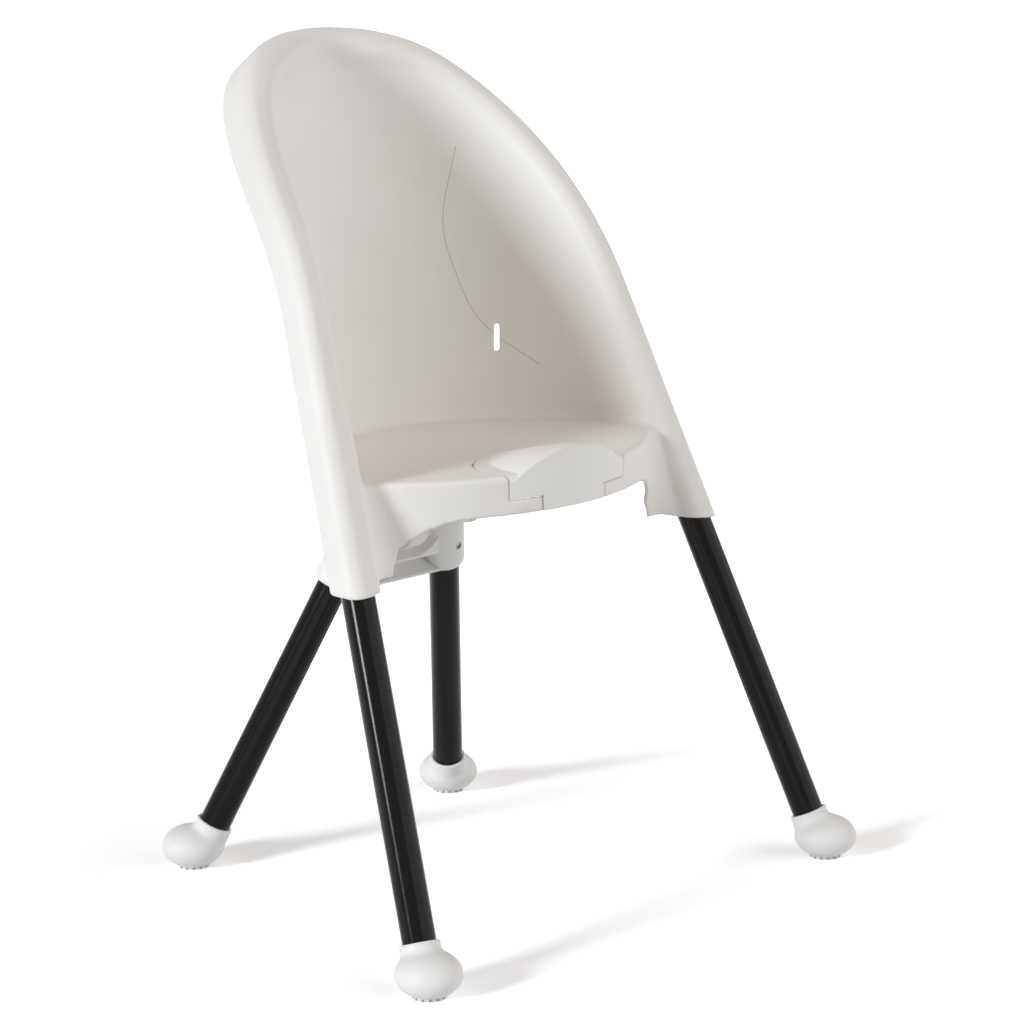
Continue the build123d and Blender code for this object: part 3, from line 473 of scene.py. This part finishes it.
def add_piece(name, mesh, body, slot):
    """A new piece that rides on a body and takes a slot's finish."""
    piece = bpy.data.objects.new(name, mesh)
    bpy.context.scene.collection.objects.link(piece)
    mesh.materials.clear()
    mesh.materials.append(finishes[slot])
    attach(piece, body)
    return piece


def settle(piece):
    """Fix what the modifiers make of a piece into its own mesh."""
    graph = bpy.context.evaluated_depsgraph_get()
    mesh = bpy.data.meshes.new_from_object(piece.evaluated_get(graph))
    piece.modifiers.clear()
    piece.data = mesh


def even_out(piece, voxel):
    """Give a piece an even mesh of small faces."""
    remesh = piece.modifiers.new("even", "REMESH")
    remesh.mode = "VOXEL"
    remesh.voxel_size = voxel
    remesh.use_smooth_shade = True
    settle(piece)


def points_of(mesh):
    points = np.empty(len(mesh.vertices) * 3)
    mesh.vertices.foreach_get("co", points)
    return points.reshape(-1, 3)


def relax(mesh, weight, steps):
    """Draw points towards the middle of their neighbours, or away by a negative step, by their weights."""
    points = points_of(mesh)
    count = len(points)
    ends = np.empty(len(mesh.edges) * 2, dtype=np.int32)
    mesh.edges.foreach_get("vertices", ends)
    here = np.concatenate((ends[0::2], ends[1::2]))
    there = np.concatenate((ends[1::2], ends[0::2]))
    links = np.maximum(np.bincount(here, minlength=count), 1)
    for step in steps:
        sums = [np.bincount(here, points[there, axis], count) for axis in range(3)]
        middle = np.stack(sums, axis=1) / links[:, None]
        points = points + (middle - points) * (weight * step)[:, None]
    mesh.vertices.foreach_set("co", points.ravel())
    mesh.update()


def near(points, spot, reach):
    """1 at a spot and its mirror image, falling to 0 over the outer half of its reach."""
    away = np.linalg.norm(np.abs(points[:, :1]) - spot[0], axis=1) ** 2
    away += (points[:, 1] - spot[1]) ** 2 + (points[:, 2] - spot[2]) ** 2
    return np.clip(2.0 - 2.0 * np.sqrt(away) / reach, 0.0, 1.0)


def swell(turns, middle, span):
    """Smooth swelling over a range of turns: 1 at its middle."""
    return np.exp(-((turns - middle) / span) ** 2)


def rim_depth(heights, halves):
    """How far each point lies inside the widest place of its own height."""
    low = heights.min()
    levels = np.round((heights - low) / RIM_LEVEL_STEP).astype(int)
    widest = np.zeros(levels.max() + 1)
    np.maximum.at(widest, levels, halves)
    at = low + RIM_LEVEL_STEP * np.arange(len(widest))
    return np.clip(np.interp(heights, at, widest) - halves, 0.0, None)


def ease(values):
    """Soft step from 0 to 1."""
    share = np.clip(values, 0.0, 1.0)
    return share ** 2 * (3.0 - 2.0 * share)


def shape_rim(mesh):
    """Round the arch's shoulders, draw in its sides, narrow its roll and square its column feet."""
    points = points_of(mesh)
    across = points[:, 0].copy()
    heights = points[:, 2].copy()
    rise = heights - RIM_MIDDLE_Z
    reach = np.maximum(np.hypot(across, rise), LEAST_REACH)
    turns = np.degrees(np.arctan2(np.abs(across), rise))
    out = SHOULDER_OUT * swell(turns, SHOULDER_TURN, SHOULDER_SPAN)
    out -= SIDE_IN * swell(turns, SIDE_TURN, SIDE_SPAN)
    out *= ease(reach / RIM_FULL_R)
    depth = rim_depth(heights, np.abs(across)) / ROLL_DEPTH
    fade = ease((heights - ROLL_FROM_Z) / ROLL_FADE) * ease((ROLL_TO_Z - heights) / ROLL_FADE)
    narrower = ROLL_IN * fade * depth ** 2 * np.exp(2.0 - 2.0 * depth)
    points[:, 0] += out * across / reach + np.sign(across) * narrower
    points[:, 2] += out * rise / reach
    by_edge = ease(near(points, COLUMN_EDGE_AT, COLUMN_EDGE_REACH))
    points[:, 0] -= np.sign(across) * COLUMN_EDGE_IN * by_edge
    mesh.vertices.foreach_set("co", points.ravel())
    mesh.update()


def smooth_shell():
    """The seat shell with the soft blends of a moulding in place of its faceted seams."""
    piece = add_piece("seat_shell_skin", nodes["seat_shell"].data.copy(), "root", "shell_plastic")
    even_out(piece, SHELL_VOXEL)
    shape_rim(piece.data)
    points = points_of(piece.data)
    whole = 1.0 - near(points, SLOT_AT, SLOT_REACH)
    relax(piece.data, whole, (SMOOTH_IN, SMOOTH_BACK) * SHELL_ROUNDS)
    relax(piece.data, near(points, CROWN_AT, CROWN_REACH), (SMOOTH_IN,) * CROWN_ROUNDS)
    for corner in SHELL_CORNERS:
        relax(piece.data, near(points, corner, CORNER_REACH), (SMOOTH_IN,) * CORNER_ROUNDS)
    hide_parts("seat_shell")
    return piece


def leg_axis(side, front):
    """Foot point and upward direction of a leg."""
    foot_x = FRONT_FOOT_X if front else REAR_FOOT_X
    splay = math.tan(math.radians(FRONT_SPLAY if front else REAR_SPLAY))
    rake = math.tan(math.radians(FRONT_RAKE if front else REAR_RAKE))
    back = -1.0 if front else 1.0
    return Vector((side * foot_x, back * FOOT_Y, 0.0)), Vector((-side * splay, -back * rake, 1.0))


def add_rod(mesh, start, end, radius, sides):
    """Closed round bar between two points."""
    way = end - start
    turn = way.to_track_quat("Z", "Y").to_matrix().to_4x4()
    place = Matrix.Translation((start + end) / 2.0) @ turn
    bmesh.ops.create_cone(mesh, cap_ends=True, segments=sides, radius1=radius, radius2=radius,
                          depth=way.length, matrix=place)


def add_lathe(mesh, outline, place, sides):
    """Closed turned body from a list of radius and height pairs."""
    rings = []
    for radius, height in outline:
        ring = []
        for i in range(sides):
            turn = 2.0 * math.pi * i / sides
            spot = Vector((radius * math.cos(turn), radius * math.sin(turn), height))
            ring.append(mesh.verts.new(place @ spot))
        rings.append(ring)
    for low, high in zip(rings, rings[1:]):
        for i in range(sides):
            mesh.faces.new((low[i - 1], low[i], high[i], high[i - 1]))
    mesh.faces.new(list(reversed(rings[0])))
    mesh.faces.new(rings[-1])


def mesh_of(name, shape):
    mesh = bpy.data.meshes.new(name)
    bmesh.ops.recalc_face_normals(shape, faces=shape.faces)
    shape.to_mesh(mesh)
    shape.free()
    return mesh


def cut(piece, shape):
    """Take a closed shape out of a piece."""
    tool = bpy.data.objects.new("tool", mesh_of("tool", shape))
    bpy.context.scene.collection.objects.link(tool)
    knife = piece.modifiers.new("cut", "BOOLEAN")
    knife.object = tool
    knife.operation = "DIFFERENCE"
    knife.solver = "EXACT"
    settle(piece)
    bpy.data.objects.remove(tool)


def foot_outline():
    """Radius and height pairs up the squat ball of a foot, from its flat bottom to its top."""
    lowest = math.asin(FOOT_BOTTOM / FOOT_HALF_HEIGHT - 1.0)
    highest = math.radians(FOOT_TOP_TURN)
    outline = []
    for i in range(FOOT_RINGS + 1):
        turn = lowest * (1.0 - i / FOOT_RINGS) + highest * i / FOOT_RINGS
        outline.append((FOOT_R * math.cos(turn), FOOT_HALF_HEIGHT * (1.0 + math.sin(turn))))
    return outline


def collar_blend(points, ground, way):
    """How much each point of a foot is smoothed: most between the ball and the collar's lip."""
    below = (np.array(ground + way * NECK_Z) - points) @ np.array(way.normalized())
    under_lip = np.clip((below - COLLAR_LIP) / COLLAR_FADE, 0.0, 1.0)
    over_ball = np.clip((points[:, 2] - BALL_SHOULDER_Z) / BALL_SHOULDER_FADE, 0.0, 1.0)
    return BLEND_LEAST + (1.0 - BLEND_LEAST) * (under_lip * over_ball)


def make_foot(name, side, front):
    """Squat ball foot that flows into a collar round its tube."""
    ground, way = leg_axis(side, front)
    shape = bmesh.new()
    add_lathe(shape, foot_outline(), Matrix.Translation(ground), FOOT_SIDES)
    add_rod(shape, ground + way * FOOT_HALF_HEIGHT, ground + way * NECK_Z, NECK_R, FOOT_SIDES)
    body = "root" if front else "rear_frame"
    piece = add_piece(name + "_form", mesh_of(name, shape), body, "foot_plastic")
    even_out(piece, FOOT_VOXEL)
    blend = collar_blend(points_of(piece.data), ground, way)
    relax(piece.data, blend, (SMOOTH_IN,) * BLEND_ROUNDS)
    bore = bmesh.new()
    add_rod(bore, ground + way * BORE_Z, ground + way * 2.0 * NECK_Z, TUBE_R, BORE_SIDES)
    cut(piece, bore)
    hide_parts(name)


def make_feet():
    for front in (True, False):
        for side, word in ((-1.0, "left"), (1.0, "right")):
            make_foot(("front" if front else "rear") + "_foot_" + word, side, front)


def screw_place(side, front):
    """Frame of a screw head: its middle and, as Z, the way it faces."""
    ground, way = leg_axis(side, front)
    along = way.normalized()
    facing = Vector((0.0, 1.0 if front else -1.0, 0.0))
    out = (facing - along * facing.dot(along)).normalized()
    spot = ground + way * (FRONT_SCREW_Z if front else REAR_SCREW_Z)
    spot = spot + out * (FRONT_SCREW_OUT if front else REAR_SCREW_OUT)
    return Matrix.Translation(spot) @ out.to_track_quat("Z", "Y").to_matrix().to_4x4()


def screw_outline():
    """Radius and height pairs up a screw, from its tip to the crown of its pan head."""
    side_top = SCREW_HEAD_H * PAN_SIDE_SHARE
    outline = [(SCREW_R, -SCREW_LENGTH), (SCREW_R, 0.0), (SCREW_HEAD_R, 0.0), (SCREW_HEAD_R, side_top)]
    for turn in PAN_TURNS:
        angle = math.radians(turn)
        rise = SCREW_HEAD_H * (PAN_SIDE_SHARE + (1.0 - PAN_SIDE_SHARE) * math.sin(angle))
        outline.append((SCREW_HEAD_R * math.cos(angle) ** PAN_FULLNESS, rise))
    return outline


def make_screws(name, front):
    """Pair of pan head screws with a hex socket."""
    shape = bmesh.new()
    drives = bmesh.new()
    for side in (-1.0, 1.0):
        place = screw_place(side, front)
        add_lathe(shape, screw_outline(), place, SCREW_SIDES)
        bottom = place @ Vector((0.0, 0.0, SCREW_HEAD_H - DRIVE_DEPTH))
        add_rod(drives, bottom, place @ Vector((0.0, 0.0, 2.0 * SCREW_HEAD_H)), DRIVE_R, DRIVE_SIDES)
    body = "root" if front else "rear_frame"
    piece = add_piece(name + "_form", mesh_of(name, shape), body, "pin_steel")
    cut(piece, drives)
    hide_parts(name)


def make_spring():
    """Return spring that is squeezed between the seat and the bolt's collar."""
    piece = bpy.data.objects.new("latch_spring_form", nodes["latch_spring"].data.copy())
    bpy.context.scene.collection.objects.link(piece)
    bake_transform(piece)
    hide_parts("latch_spring")


def pixel_ray(pixel):
    """Direction in which the camera sees a pixel of the photo."""
    right, up, back = camera_axes()
    focal = CAMERA_LENS / SENSOR * PHOTO_SIZE
    x = (pixel[0] - PHOTO_SIZE / 2.0) / focal
    y = (PHOTO_SIZE / 2.0 - pixel[1]) / focal
    return right * x + up * y - back


def witness_route():
    """Pixels along the witness line, on a smooth curve through the chosen ones."""
    spots = [Vector((x, y, 0.0)) for x, y in WITNESS_PIXELS]
    ends = [spots[0] * 2.0 - spots[1]] + spots + [spots[-1] * 2.0 - spots[-2]]
    route = []
    for i in range(1, len(ends) - 2):
        first = ends[i] + (ends[i + 1] - ends[i - 1]) / 6.0
        second = ends[i + 1] - (ends[i + 2] - ends[i]) / 6.0
        route += interpolate_bezier(ends[i], first, second, ends[i + 1], WITNESS_STEPS)[:-1]
    return route


def witness_runs(shell):
    """Places and normals along the witness line on the inner wall, in runs that the strap slot parts."""
    wall = BVHTree.FromObject(shell, bpy.context.evaluated_depsgraph_get())
    runs = [[]]
    for pixel in witness_route():
        ray = pixel_ray(pixel).normalized()
        spot, normal, _, _ = wall.ray_cast(Vector(CAMERA_AT), ray)
        if spot is not None and -normal.dot(ray) > WITNESS_FACING:
            runs[-1].append((spot, normal))
        elif runs[-1]:
            runs.append([])
    return [run for run in runs if len(run) > 2]


def add_ridge(shape, run, side):
    """Three-sided ridge, sunk a little into the wall that carries it."""
    rows = []
    for i, (spot, normal) in enumerate(run):
        ahead = run[min(i + 1, len(run) - 1)][0] - run[max(i - 1, 0)][0]
        across = ahead.cross(normal).normalized() * WITNESS_WIDTH
        sunk = spot - normal * WITNESS_HEIGHT
        row = (sunk - across, spot + normal * WITNESS_HEIGHT, sunk + across)
        rows.append([shape.verts.new((side * p.x, p.y, p.z)) for p in row])
    for low, high in zip(rows, rows[1:]):
        for i in range(3):
            shape.faces.new((low[i - 1], low[i], high[i], high[i - 1]))
    shape.faces.new(rows[0])
    shape.faces.new(rows[-1])


def make_witness_lines(shell):
    """Fine ridge that the mould left on the inner wall, with its mirror image."""
    shape = bmesh.new()
    for run in witness_runs(shell):
        for side in (1.0, -1.0):
            add_ridge(shape, run, side)
    add_piece("wall_witness_lines", mesh_of("wall_witness_lines", shape), "root", "shell_plastic")


finishes = make_finishes()
finish_nodes(finishes)
make_camera()
shell = smooth_shell()
make_feet()
make_screws("rear_leg_screws", False)
make_screws("front_leg_screws", True)
make_spring()
make_witness_lines(shell)
make_sky()
make_floor()
sun_light("key", KEY_FROM, KEY_SPREAD, KEY_STRENGTH, KEY_TINT)
sun_light("fill", FILL_FROM, FILL_SPREAD, FILL_STRENGTH, FILL_TINT)
bpy.context.scene.view_settings.view_transform = "Standard"
